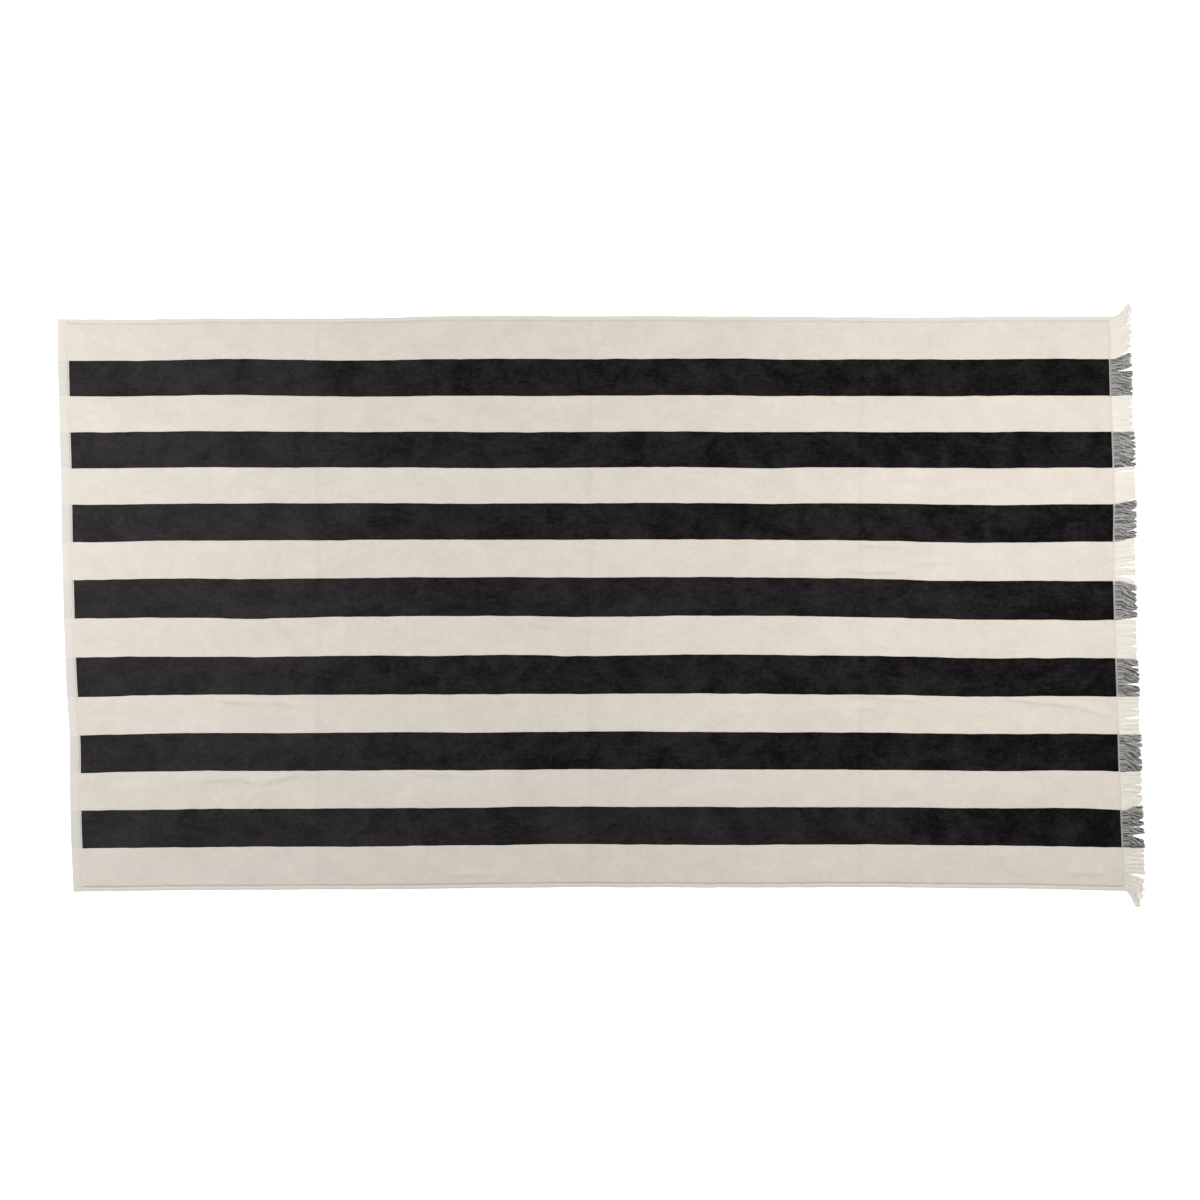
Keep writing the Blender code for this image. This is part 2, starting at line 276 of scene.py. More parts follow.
def smooth(value):
    """0 below 0, 1 above 1, and an even curve between."""
    value = np.clip(value, 0.0, 1.0)
    return value * value * (3 - 2 * value)


def changed(gone, change):
    """How much of a change, given by its start and its length, has come about: 0 to 1."""
    start, length = change
    return smooth((gone - start) / length)


def wrinkled(x, y, width):
    """How near each place is to the wrinkles' lines, 0 to 1, on lines of a given width."""
    total = 0.0
    for (start_x, start_y), (end_x, end_y), sag, marked in WRINKLES:
        length = math.hypot(end_x - start_x, end_y - start_y)
        along_x, along_y = (end_x - start_x) / length, (end_y - start_y) / length
        along = ((x - start_x) * along_x + (y - start_y) * along_y) / length
        across = (y - start_y) * along_x - (x - start_x) * along_y - 4 * sag * along * (1 - along)
        fade = smooth(along / WRINKLE_FADE) * smooth((1 - along) / WRINKLE_FADE)
        total = total + marked * fade * np.exp(-(across / width) ** 2)
    return total


def lift(x, y):
    """How far the laid cloth stands above the flat at a place: slack ripples and shop-fold creases."""
    ripples = np.maximum(layered(x, y, RIPPLES, RIPPLE_LEVEL), 0)
    creases = 0.0
    for line in FOLD_LINES:
        creases = creases + FOLD_HEIGHT * np.exp(-np.abs(x - line) / FOLD_WIDTH)
    return ripples + creases + WRINKLE_HEIGHT * wrinkled(x, y - WRINKLE_SET, WRINKLE_WIDTH)


def pulled(x, y):
    """How far towards the fringe and the far side the hands that laid the cloth pulled each place."""
    total = np.zeros((*x.shape, 2))
    for (centre_x, centre_y), reach, pull in PULLS:
        share = np.exp(-((x - centre_x) ** 2 + (y - centre_y) ** 2) / (2 * reach ** 2))
        total += share[..., None] * pull
    return total


def settle(points, held):
    """Move flat-laid points as the real cloth lies: lines wander a little, and the cloth ripples.

    held is 1 in the cloth and falls to 0 where a yarn has dropped to the floor.
    """
    x, y = points[..., 0], points[..., 1]
    settled = points.copy()
    settled[..., 0] += layered(x, y, WANDER_ALONG)
    settled[..., 1] += layered(x, y, WANDER_ACROSS)
    settled[..., :2] += pulled(x, y)
    settled[..., 2] += held * lift(x, y)
    return settled


def stations(node, run):
    """A swept CAD piece's cross rows of points, in order along the axis run (0 is X, 1 is Y)."""
    mesh = NODES[node].data
    points = np.empty(len(mesh.vertices) * 3)
    mesh.vertices.foreach_get("co", points)
    points = points.reshape(-1, 3)
    points = points[np.argsort(points[:, run])]
    breaks = np.flatnonzero(np.diff(points[:, run]) > STATION_GAP) + 1
    return np.split(points, breaks)


def long_edges(node, run=0):
    """The two long edges of a swept CAD piece in plan: the low and the high side of each row."""
    rows = stations(node, run)
    low = np.array([row[np.argmin(row[:, 1 - run]), :2] for row in rows])
    high = np.array([row[np.argmax(row[:, 1 - run]), :2] for row in rows])
    return low, high


def on_edge(edge, share):
    """Points at shares of an edge's length, going straight on past its ends."""
    place = np.asarray(share, float) * (len(edge) - 1)
    first = np.clip(np.floor(place).astype(int), 0, len(edge) - 2)
    part = (place - first)[..., None]
    return edge[first] * (1 - part) + edge[first + 1] * part


def edge_length(edge):
    return float(np.linalg.norm(np.diff(edge, axis=0), axis=1).sum())


# -------------------------------------------------- meshes

def graded(length, step):
    """Places from 0 to length, one step apart and closer towards both ends."""
    inner = np.linspace(EDGE_SPACING[-1], length - EDGE_SPACING[-1],
                        max(int(round(length / step)), 2))
    ends = np.array(EDGE_SPACING[:-1])
    return np.concatenate([ends, inner, length - ends[::-1]])


def bake_corners(rings):
    """Where each face's corners lie in a map for baked textures: every skin unrolled, in strips.

    Gives the quads' corners, and those of the two caps, which sit in the margin beside their strip.
    """
    solids, count, around = rings.shape[:3]
    length = np.linalg.norm(np.diff(rings[0, :, 0], axis=0), axis=1).sum()
    middle = rings[0, count // 2]
    girth = np.linalg.norm(middle - np.roll(middle, 1, axis=0), axis=1).sum()
    cuts = max(round(math.sqrt(length / girth)), 1) if solids == 1 else 1
    columns = max(round(math.sqrt(solids * girth / length)), 1) if solids > 1 else 1
    rows = math.ceil(solids * cuts / columns)
    ring, point = np.arange(count - 1)[:, None], np.arange(around)[None]
    strip = ring * cuts // (count - 1)
    left, right = ring * cuts / (count - 1) - strip, (ring + 1) * cuts / (count - 1) - strip
    low, high = point / around, (point + 1) / around
    shape = (count - 1, around)
    flat = np.empty((*shape, 4, 2))
    for corner, (u, v) in enumerate(((left, low), (left, high), (right, high), (right, low))):
        flat[:, :, corner, 0] = np.broadcast_to(STRIP_CORNER[0] + STRIP_SIZE[0] * u, shape)
        flat[:, :, corner, 1] = np.broadcast_to(STRIP_CORNER[1] + STRIP_SIZE[1] * v, shape)
    turn = np.arange(around) * math.tau / around
    circle = np.stack([CAP_RADII[0] * np.cos(turn), CAP_RADII[1] * np.sin(turn)], axis=-1)
    caps = np.array(CAP_MIDDLES)[:, None] + circle[None]
    cell = np.arange(solids)[:, None] * cuts + strip[:, 0][None]
    place = np.stack([cell % columns, cell // columns], axis=-1)
    size = np.array([columns, rows])
    quads = (flat[None] + place[:, :, None, None]) / size
    return quads, (caps[None] + place[:, :1, None]) / size


def loft(rings):
    """Points, faces and bake map of closed solids swept through rings: (solids, rings, points, 3)."""
    solids, count, around = rings.shape[:3]
    ring, point = np.meshgrid(np.arange(count - 1), np.arange(around), indexing="ij")
    after = (point + 1) % around
    quads = np.stack([ring * around + point, ring * around + after,
                      (ring + 1) * around + after, (ring + 1) * around + point], axis=-1).reshape(-1, 4)
    caps = np.stack([np.arange(around)[::-1], np.arange((count - 1) * around, count * around)])
    quad_map, cap_map = bake_corners(rings)
    quad_map = quad_map.reshape(solids, -1, 4, 2)
    corners = rings[0].reshape(-1, 3)[quads] - rings[0].mean(axis=(0, 1))
    volume = np.einsum("ij,ij->i", corners[:, 0], np.cross(corners[:, 1], corners[:, 2])).sum()
    if volume < 0:
        quads, caps, quad_map = quads[:, ::-1], caps[:, ::-1], quad_map[:, :, ::-1]
    faces, flat = [], []
    for solid in range(solids):
        start = solid * count * around
        faces += (quads + start).tolist() + (caps + start).tolist()
        flat += [quad_map[solid].reshape(-1, 2), cap_map[solid].reshape(-1, 2)]
    return rings.reshape(-1, 3), faces, np.concatenate(flat)


def add_piece(name, rings, material, node, attributes=None, held=1.0):
    """A smooth-shaded piece of lofted solids that rides on the mat and stands for a CAD node."""
    points, faces, bake_map = loft(settle(rings, held))
    mesh = bpy.data.meshes.new(name)
    mesh.from_pydata(points.tolist(), [], faces)
    for key, values in (attributes or {}).items():
        layer = mesh.attributes.new(key, "FLOAT_VECTOR" if values.ndim == 2 else "FLOAT", "POINT")
        layer.data.foreach_set("vector" if values.ndim == 2 else "value",
                               np.ascontiguousarray(values, np.float32).ravel())
    mesh.uv_layers.new(name="OFBake").uv.foreach_set("vector", bake_map.astype(np.float32).ravel())
    mesh.shade_smooth()
    for one in material if isinstance(material, list) else [material]:
        mesh.materials.append(one)
    piece = bpy.data.objects.new(name, mesh)
    bpy.context.scene.collection.objects.link(piece)
    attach(piece, "root")
    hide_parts(node)
    return piece


# -------------------------------------------------- materials

def add_node(tree, kind, settings=None, **inputs):
    """A shader node: settings are its properties, inputs its sockets' values or what feeds them."""
    made = tree.nodes.new("ShaderNode" + kind)
    for key, value in (settings or {}).items():
        setattr(made, key, value)
    for key, value in inputs.items():
        socket = made.inputs[int(key[1:]) if key[0] == "_" else key]
        if isinstance(value, bpy.types.NodeSocket):
            tree.links.new(value, socket)
        else:
            socket.default_value = value
    return made


def cotton(name, sheen, sheen_roughness=0.5, tint=(1, 1, 1)):
    """A matte cotton shader with a little fuzz, ready for a colour and a bump."""
    material = bpy.data.materials.new(name)
    material.use_nodes = True
    shader = material.node_tree.nodes["Principled BSDF"]
    shader.inputs["Roughness"].default_value = 0.95
    shader.inputs["Specular IOR Level"].default_value = 0.25
    shader.inputs["Sheen Weight"].default_value = sheen
    shader.inputs["Sheen Roughness"].default_value = sheen_roughness
    shader.inputs["Sheen Tint"].default_value = (*tint, 1)
    return material, material.node_tree, shader


def textured(tree, scale, detail=2.0, roughness=0.55, distortion=0.0, stretch=(1, 1, 1), source=None):
    """A noise over the piece's own metres, stretched by dividing its scale along each axis."""
    if source is None:
        source = add_node(tree, "TexCoord").outputs["Object"]
    place = add_node(tree, "Mapping", None, Vector=source,
                     Scale=tuple(1 / axis for axis in stretch)).outputs["Vector"]
    return add_node(tree, "TexNoise", None, Vector=place, Scale=scale, Detail=detail,
                    Roughness=roughness, Distortion=distortion).outputs["Fac"]


def spread(tree, value, low, high, to_low=0.0, to_high=1.0):
    """Map a value's range to another, held at both ends."""
    return add_node(tree, "MapRange", None, Value=value, **{"From Min": low, "From Max": high,
                    "To Min": to_low, "To Max": to_high}).outputs["Result"]


def calculate(tree, operation, first, second):
    return add_node(tree, "Math", {"operation": operation}, _0=first, _1=second).outputs[0]


def mix(tree, share, first, second):
    """A colour between two others."""
    node = add_node(tree, "Mix", {"data_type": "RGBA"}, Factor=share)
    for socket, value in (("A", first), ("B", second)):
        target = next(s for s in node.inputs if s.name == socket and s.type == "RGBA")
        if isinstance(value, bpy.types.NodeSocket):
            tree.links.new(value, target)
        else:
            target.default_value = (*value, 1)
    return next(s for s in node.outputs if s.type == "RGBA")


def bump(tree, shader, height, distance, strength=1.0):
    normal = add_node(tree, "Bump", None, Height=height, Distance=distance, Strength=strength)
    tree.links.new(normal.outputs["Normal"], shader.inputs["Normal"])


def weighted(tree, *pairs):
    """The sum of values, each moved to swing round 0 and then multiplied by its weight."""
    total = None
    for value, weight in pairs:
        swing = calculate(tree, "MULTIPLY", calculate(tree, "SUBTRACT", value, 0.5), weight)
        total = swing if total is None else calculate(tree, "ADD", total, swing)
    return total


def velour(name, dark, light, sheen, specular, base, nap_and_light_share, mottle):
    """Sheared pile lying this way and that, with fine warp-wise streaks and a cut-end grain.

    base is how light it is without its nap_and_painted_light attribute (the pile's own tone, with painted
    shade and a painted sheen), nap_and_light_share how much that adds, and mottle how strongly the pile
    varies.
    """
    material, tree, shader = cotton(name, sheen)
    shader.inputs["Specular IOR Level"].default_value = specular
    patches = textured(tree, 30, 5, 0.62, 0.7, (1.3, 1, 1))
    tufts = textured(tree, 170, 2, 0.55, 0.5, (1.15, 1, 1))
    streaks = textured(tree, 420, 2, 0.5, 0.0, (10, 1, 1))
    grain = textured(tree, 1300, 3, 0.75)
    varied = weighted(tree, (patches, 2.2 * mottle), (tufts, 1.3 * mottle), (streaks, 0.8 * mottle),
                      (grain, 1.5 * mottle))
    # this attribute holds the pile's own tone, painted shade and a painted sheen
    nap_and_painted_light = add_node(tree, "Attribute", {"attribute_name": "nap_and_painted_light"}).outputs["Fac"]
    level = calculate(tree, "MULTIPLY_ADD", nap_and_painted_light, nap_and_light_share)
    level.node.inputs[2].default_value = base
    shade = calculate(tree, "ADD", level, varied)
    tree.links.new(mix(tree, spread(tree, shade, 0.0, 1.0), dark, light), shader.inputs["Base Color"])
    height = calculate(tree, "ADD", grain, calculate(tree, "MULTIPLY", tufts, 0.6))
    bump(tree, shader, height, 0.0007, 0.8)
    return material


def loops(name, dark, light, sheen):
    """Uncut terry: rows of small round loops with shadow between them."""
    material, tree, shader = cotton(name, sheen)
    place = add_node(tree, "TexCoord").outputs["Object"]
    wander = add_node(tree, "TexNoise", None, Vector=place, Scale=160.0, Detail=2.0).outputs["Color"]
    moved = add_node(tree, "VectorMath", {"operation": "MULTIPLY_ADD"}, _0=wander,
                     _1=(0.0012, 0.0012, 0.0), _2=place).outputs[0]
    cells = add_node(tree, "TexVoronoi", {"feature": "F1"}, Vector=moved, Scale=620.0,
                     Randomness=0.55).outputs["Distance"]
    patches = textured(tree, 30, 3, 0.6)
    crown = spread(tree, cells, 0.05, 0.62, 1.0, 0.0)
    crowns = calculate(tree, "MULTIPLY", crown, 0.75)
    shade = calculate(tree, "ADD", crowns, calculate(tree, "MULTIPLY", patches, 0.3))
    tree.links.new(mix(tree, spread(tree, shade, 0.15, 0.95), dark, light), shader.inputs["Base Color"])
    bump(tree, shader, crown, 0.0009, 0.9)
    return material


def weave(name, cream, tinted, pitch=0.00095):
    """Plain flat weave; the piece's own tint attribute turns it from the cream to the tinted colour."""
    material, tree, shader = cotton(name, 0.15)
    place = add_node(tree, "TexCoord").outputs["Object"]
    warp, weft = (add_node(tree, "TexWave", {"bands_direction": axis}, Vector=place,
                           Scale=WAVE_SCALE / pitch, Distortion=0.6, Detail=1.0).outputs["Fac"]
                  for axis in "YX")
    crossings = calculate(tree, "MULTIPLY", calculate(tree, "MULTIPLY", warp, weft), 0.5)
    slubs = textured(tree, 260, 3, 0.6, 0.0, (5, 1, 1))
    shade = calculate(tree, "ADD", crossings, calculate(tree, "MULTIPLY", slubs, 0.7))
    tint = add_node(tree, "Attribute", {"attribute_name": "tint"}).outputs["Fac"]
    base = mix(tree, tint, cream, tinted)
    dull = add_node(tree, "HueSaturation", None, Color=base, Value=0.88).outputs["Color"]
    tree.links.new(mix(tree, spread(tree, shade, 0.2, 0.75), dull, base), shader.inputs["Base Color"])
    bump(tree, shader, shade, 0.0004, 0.6)
    return material


def yarn(name, dark, light, twist=0.0030):
    """Loosely twisted cotton yarn: plies that wind round it, read from its strand attribute, with painted
    shade in the grooves between them.
    """
    material, tree, shader = cotton(name, 0.25)
    strand = add_node(tree, "SeparateXYZ", None,
                      _0=add_node(tree, "Attribute", {"attribute_name": "strand"}).outputs["Vector"])
    turns = calculate(tree, "ADD", calculate(tree, "DIVIDE", strand.outputs["X"], twist),
                      calculate(tree, "MULTIPLY", strand.outputs["Y"], 2.0))
    swing = calculate(tree, "SINE", calculate(tree, "MULTIPLY", turns, math.tau), 0.0)
    ply = calculate(tree, "ADD", calculate(tree, "MULTIPLY", swing, 0.5), 0.5)
    fuzz = textured(tree, 1300, 2, 0.7)
    # the plies' swing darkens the colour in the grooves between them: painted shade
    plies = calculate(tree, "MULTIPLY", ply, 0.45)
    shade = calculate(tree, "ADD", plies, calculate(tree, "MULTIPLY", fuzz, 0.4))
    shade = calculate(tree, "ADD", shade, calculate(tree, "MULTIPLY", strand.outputs["Z"], 0.4))
    tree.links.new(mix(tree, spread(tree, shade, 0.2, 1.0), dark, light), shader.inputs["Base Color"])
    bump(tree, shader, shade, 0.0003, 0.6)
    return material


# -------------------------------------------------- pile and ground

def rounding(distance, reach, drop):
    """How far a rounded edge has fallen at a distance in from it: it starts reach in, and drops drop."""
    inside = np.clip(1 - np.asarray(distance) / reach, 0, 1)
    return drop * (1 - np.sqrt(1 - inside ** 2))


def fold_crush_and_shade(x):
    """How much the pile is pressed flat, and painted shade falls, along the folds: 1 on the lines where the
    mat was folded, falling to 0 beside them.
    """
    return sum(np.exp(-((x - line) / CRUSH_AND_SHADE_WIDTH) ** 2) for line in FOLD_LINES)


def nap_with_painted_light(stripe, x, y):
    """How light a stripe's pile is drawn, 0 to 1: its own random tone, painted shade along the folds and
    wrinkles, and on black a painted sheen that is lightest at the hemmed end.
    """
    if stripe.startswith("cream"):
        soft = layered(x, y, CREAM_NAP)
        # darker along the folds, where the pile is pressed flat and shade is painted, and painted shade
        # along the wrinkles' lines
        return 0.6 + soft - 0.55 * fold_crush_and_shade(x) - 1.1 * wrinkled(x, y, CREAM_SHADE_LINE)
    half = MAT_LENGTH / 2
    # Painted sheen: lightest at the hemmed end and darkest at the fringe, between edges that run askew
    front = x + 0.05 * noise(x, y, 0.05, 41) + 0.25 * (y - np.mean(y))
    ahead = SHEEN_REACH.get(stripe, 0.0)
    light = np.interp(front, (-half, -0.42, -0.35 + ahead / 3, 0.0, 0.42, 0.62, half),
                      (0.90, 0.76, 0.45, 0.35 + 0.45 * ahead, 0.31 + 0.25 * ahead, 0.19, 0.15))
    marks = 0.05 * noise(x, y, 0.035, 44, 0.35) * smooth(noise(x, y, 0.20, 45) + 0.6)
    patches = layered(x, y, BLACK_NAP)
    # darker along the folds, where the pile is pressed flat and shade is painted, and painted shade along
    # the wrinkles' lines
    return light + patches + marks - 0.08 * fold_crush_and_shade(x) - 0.2 * wrinkled(x, y, BLACK_SHADE_LINE)


def pile_plan(stripe, near, far, along, across):
    """Where a stripe's pile stands in plan: it leans a little over the gaps beside it."""
    length, width = along[-1], across[-1]
    rows = across / width
    past_near = STRIPE_LEAN if stripe != STRIPES[-1] else HEM_REACH
    past_far = STRIPE_LEAN if stripe != STRIPES[0] else HEM_REACH
    at_edge = np.minimum(across, width - across) < EDGE_SPACING[2]
    leaned = rows + np.where(rows < 0.5, -past_near, past_far) * at_edge / width
    start, end = on_edge(near, along / length), on_edge(far, along / length)
    plan = start[:, None] + leaned[None, :, None] * (end - start)[:, None]
    past_end = HEM_REACH if "cream" in stripe else -BLACK_SETBACK
    plan[..., 0] -= past_end * (1 - smooth(along / LEAN_FADE))[:, None]
    return plan, start, end


def pile_piece(layer, stripe, material):
    """One stripe of pile: velour above the ground, or terry loops below it."""
    node = f"{layer}_{stripe}"
    near, far = long_edges(node)
    above = layer == "velour"
    step = PILE_STEP if above else LOOP_STEP
    length, width = edge_length(near), float(np.linalg.norm(far[0] - near[0]))
    along, across = graded(length, step[0]), graded(width, step[1])
    plan, start, end = pile_plan(stripe, near, far, along, across)
    x, y = plan[..., 0], plan[..., 1]
    edge = np.minimum(across, width - across)[None]
    start_fall = rounding(along, *START_ROUND)[:, None]
    end_fall = rounding(length - along, *END_ROUND)[:, None]
    fall = rounding(edge, *SIDE_ROUND) + start_fall + end_fall
    if above:
        root = GROUND_HIGH + PILE_ROOT
        depth = PILE_TOP - GROUND_HIGH - PILE_ROOT
        surface = root + (depth - np.minimum(fall, depth * (1 - LEAST_PILE))) + layered(x, y, PILE_ROUGH)
    else:
        root = GROUND_LOW - PILE_ROOT
        depth = GROUND_LOW - PILE_ROOT - FLOOR
        rough = np.abs(layered(x, y, LOOPS_ROUGH))
        surface = root - (depth - np.minimum(fall, depth * (1 - LEAST_PILE))) + rough
    face = np.stack([x, y, surface], axis=-1)
    under_rows = np.linspace(1, 0, UNDERSIDE_POINTS)
    back = start[:, None] + under_rows[None, :, None] * (end - start)[:, None]
    back = np.concatenate([back, np.full((*back.shape[:2], 1), root)], axis=-1)
    rings = np.concatenate([face, back], axis=1)
    nap_and_painted_light = nap_with_painted_light(stripe, rings[..., 0], rings[..., 1])
    name = f"{'pile' if above else 'loops'}_{stripe}"
    return add_piece(name, rings[None], material, node, {"nap_and_painted_light": nap_and_painted_light.ravel()})


def black_rows(y):
    """1 where the stripe at y is black and 0 where it is cream, with edges a yarn or two soft."""
    total = 0.0
    for stripe in STRIPES:
        if stripe.startswith("black"):
            near, far = long_edges("velour_" + stripe)
            inside = smooth((y - near[-1][1]) / YARN_EDGE) * smooth((far[-1][1] - y) / YARN_EDGE)
            total = total + inside
    return total


def ground_piece(material):
    """The woven ground: it shows as a bare strip at the hems and at the root of the fringe."""
    near, far = long_edges("ground_cloth")
    length, width = edge_length(near), float(np.linalg.norm(far[0] - near[0]))
    along, across = graded(length, GROUND_STEP), graded(width, GROUND_STEP)
    rows = stations("ground_cloth", 0)
    middles = []
    for row in rows:
        levels = np.linspace(row[:, 1].min(), row[:, 1].max(), len(rows))
        middles.append([row[np.argmin(np.abs(row[:, 1] - y)), 0] for y in levels])
    share, over = along / length, across / width
    start, end = on_edge(near, share), on_edge(far, share)
    y = start[:, None, 1] + over[None] * (end - start)[:, None, 1]
    row_x = on_edge(np.array(middles), share)
    x = np.array([np.interp(over, np.linspace(0, 1, len(rows)), values) for values in row_x])
    top = np.stack([x, y, np.full_like(x, GROUND_HIGH)], axis=-1)
    bottom = np.stack([x, y, np.full_like(x, GROUND_LOW)], axis=-1)[:, ::-1]
    ring = np.concatenate([top, bottom], axis=1)
    striped_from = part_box("velour_" + STRIPES[0])[1][0] - TINT_START
    tint = black_rows(ring[..., 1]) * smooth((ring[..., 0] - striped_from) / TINT_FADE)
    return add_piece("woven_ground", ring[None], material, "ground_cloth",
                     {"tint": tint.ravel()})


# -------------------------------------------------- hems and seams

def hem_section(width):
    """The outside of a turned hem, from its inner edge on top, round the fold, to the one below.

    Gives how far in from the fold, and how high above the middle.
    """
    half = (HEM_HIGH - HEM_LOW) / 2
    flat = np.linspace(width, half, max(int(width / HEM_POINT_STEP), 4))
    turn = np.linspace(math.pi / 2, 3 * math.pi / 2, HEM_TURN_POINTS)[1:-1]
    inward = np.concatenate([flat, half + half * np.cos(turn), flat[::-1]])
    level = np.full(len(flat), half)
    height = np.concatenate([level, half * np.sin(turn), -level])
    return inward, height


def hem_piece(name, node, run, fold_side, seam_inset, material, tint=None):
    """A turned hem lofted along its run: puffed between fold and seam, pinched at each stitch."""
    low, high = long_edges(node, run)
    fold, inner = (low, high) if fold_side == "low" else (high, low)
    length, width = edge_length(fold), float(np.linalg.norm(inner[0] - fold[0]))
    share = np.linspace(0, 1, int(length / HEM_RUN_STEP))
    start, end = on_edge(fold, share), on_edge(inner, share)
    inwards = (end - start) / width
    inward, height = hem_section(width)
    half = (HEM_HIGH - HEM_LOW) / 2
    along_stitches = np.cos(math.tau * share * length / STITCH_LENGTH)[:, None]
    pinch = 1 - STITCH_PINCH + STITCH_PINCH * along_stitches
    groove = SEAM_GROOVE[node] * np.exp(-((inward - seam_inset) / SEAM_GROOVE_WIDTH) ** 2)[None] * pinch
    puff = HEM_PUFF * np.sin(np.clip(inward / seam_inset, 0, 1) * math.pi)[None]
    walls = []
    for depth in (0.0, HEM_PLY):
        reach = np.where(inward < half, half + (inward - half) * (half - depth) / half, inward)
        plan = start[:, None] + reach[None, :, None] * inwards[:, None]
        x, y = plan[..., 0], plan[..., 1]
        side = np.where(height > 0, 1.0, -HEM_UNDER)[None]
        swell = side * (puff - groove + layered(x, y, HEM_ROUGH))
        fade = np.abs(height)[None] / half
        z = GROUND_MIDDLE + (height * (1 - depth / half))[None] + swell * fade
        walls.append(np.stack([x, y, z], axis=-1))
    ring = np.concatenate([walls[0], walls[1][:, ::-1]], axis=1)
    shades = np.zeros(ring.shape[:2]) if tint is None else tint(ring[..., 1])
    return add_piece(name, ring[None], material, node, {"tint": shades.ravel()})


def seam_line(node, run):
    low, high = long_edges(node, run)
    return (low + high) / 2


def stitches(name, node, run, height, outward, material):
    """A row of lock stitches: each lies in the groove and dives into the cloth at both ends."""
    line = seam_line(node, run)
    length = edge_length(line)
    count = int(length / STITCH_LENGTH)
    arc = np.linspace(0, 1, STITCH_POINTS)
    begin = (np.arange(count) * STITCH_LENGTH)[:, None]
    along = begin + STITCH_GAP / 2 + arc[None] * (STITCH_LENGTH - STITCH_GAP)
    plan = on_edge(line, along / length)
    plan[..., 1 - run] += STITCH_SLANT * (arc - 0.5)[None]
    rise = outward * (STITCH_CROWN * np.sin(math.pi * arc) - STITCH_DIVE * (2 * arc - 1) ** 6)
    z = np.broadcast_to(height + rise, plan.shape[:2])
    rings, strand = tubes(np.concatenate([plan, z[..., None]], axis=-1),
                          np.full(plan.shape[:2], THREAD_RADIUS), THREAD_SIDES)
    return add_piece(name, rings, material, node, {"strand": strand})


def tubes(paths, radii, sides, shades=None):
    """Rings round paths (count, points, 3), and the strand attribute: length, turn and shade."""
    count, points = paths.shape[:2]
    tangent = np.gradient(paths, axis=1)
    tangent /= np.linalg.norm(tangent, axis=-1, keepdims=True)
    side = np.cross(tangent, (0.0, 0.0, 1.0))
    side /= np.linalg.norm(side, axis=-1, keepdims=True)
    up = np.cross(side, tangent)
    turn = np.arange(sides) / sides
    across, upward = np.cos(turn * math.tau)[:, None], np.sin(turn * math.tau)[:, None]
    offset = across * side[:, :, None] + upward * up[:, :, None]
    rings = paths[:, :, None] + offset * radii[:, :, None, None]
    steps = np.linalg.norm(np.diff(paths, axis=1), axis=-1)
    along = np.concatenate([np.zeros((count, 1)), np.cumsum(steps, axis=1)], axis=1)
    strand = np.zeros((count, points, sides, 3))
    strand[..., 0] = along[:, :, None]
    strand[..., 1] = turn
    strand[..., 2] = 0.5 if shades is None else shades[:, None, None]
    return rings, strand.reshape(-1, 3)


# -------------------------------------------------- fringe

def combed(share):
    """Which way a tassel points, and how fast its neighbours fan out from it, along the end."""
    for (start, _, begin), (end, finish, _) in zip(COMBING, COMBING[1:]):
        if share <= end:
            part = (share - start) / (end - start)
            angle = begin + (finish - begin) * part
            return math.radians(angle), math.radians(begin - finish) / (end - start)
    return 0.0, 0.0


